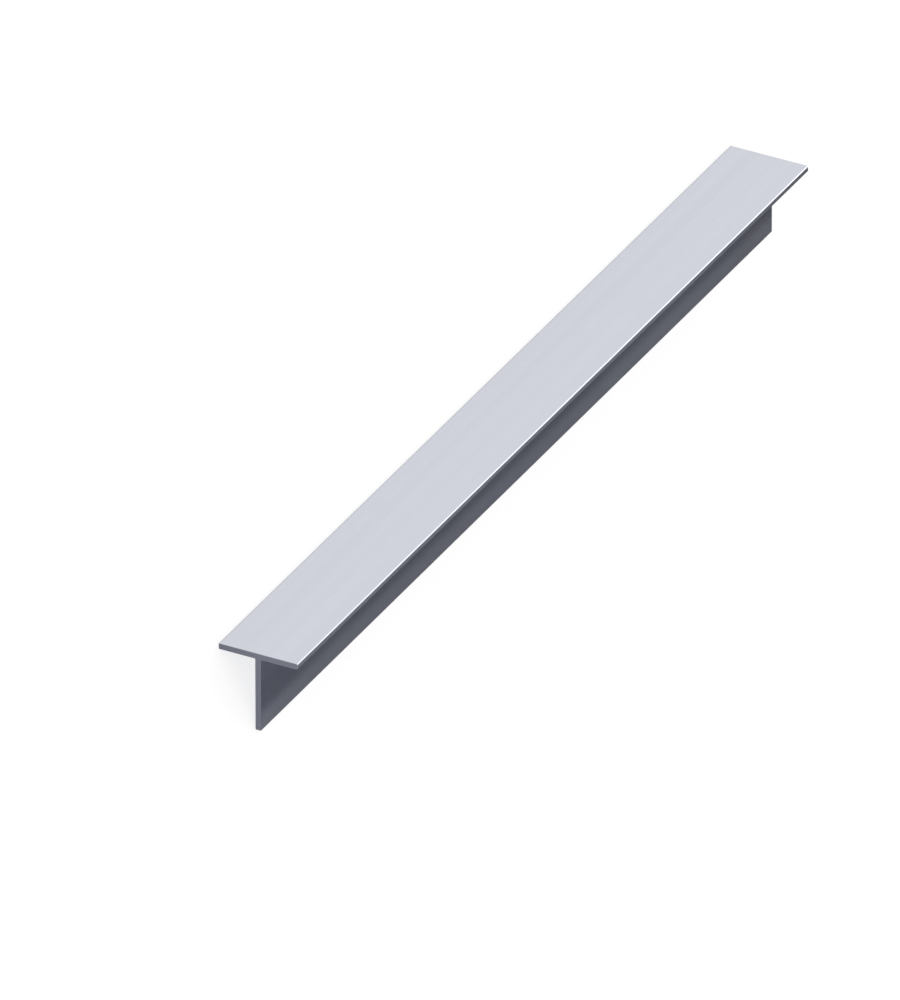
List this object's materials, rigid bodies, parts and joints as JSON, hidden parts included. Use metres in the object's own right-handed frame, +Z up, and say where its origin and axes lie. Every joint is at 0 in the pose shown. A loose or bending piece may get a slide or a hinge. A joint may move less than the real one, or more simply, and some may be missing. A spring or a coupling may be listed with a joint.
{
  "type": "aluminium t-profile",
  "caption": "Straight extruded aluminium T-bar with equal flange and web, rounded outer edges and square sawn ends.",
  "frame": {"origin": "on the floor under the middle of the bar, which lies on its web's foot and one flange edge", "axes": "+Y along the bar, +Z up from the floor, +X to the side that the web's foot lies on"},
  "size_m": [0.045, 0.5, 0.0368],
  "materials": {
    "aluminium": "satin"
  },
  "bodies": {
    "root": {"t_profile": "aluminium"}
  },
  "joints": []
}
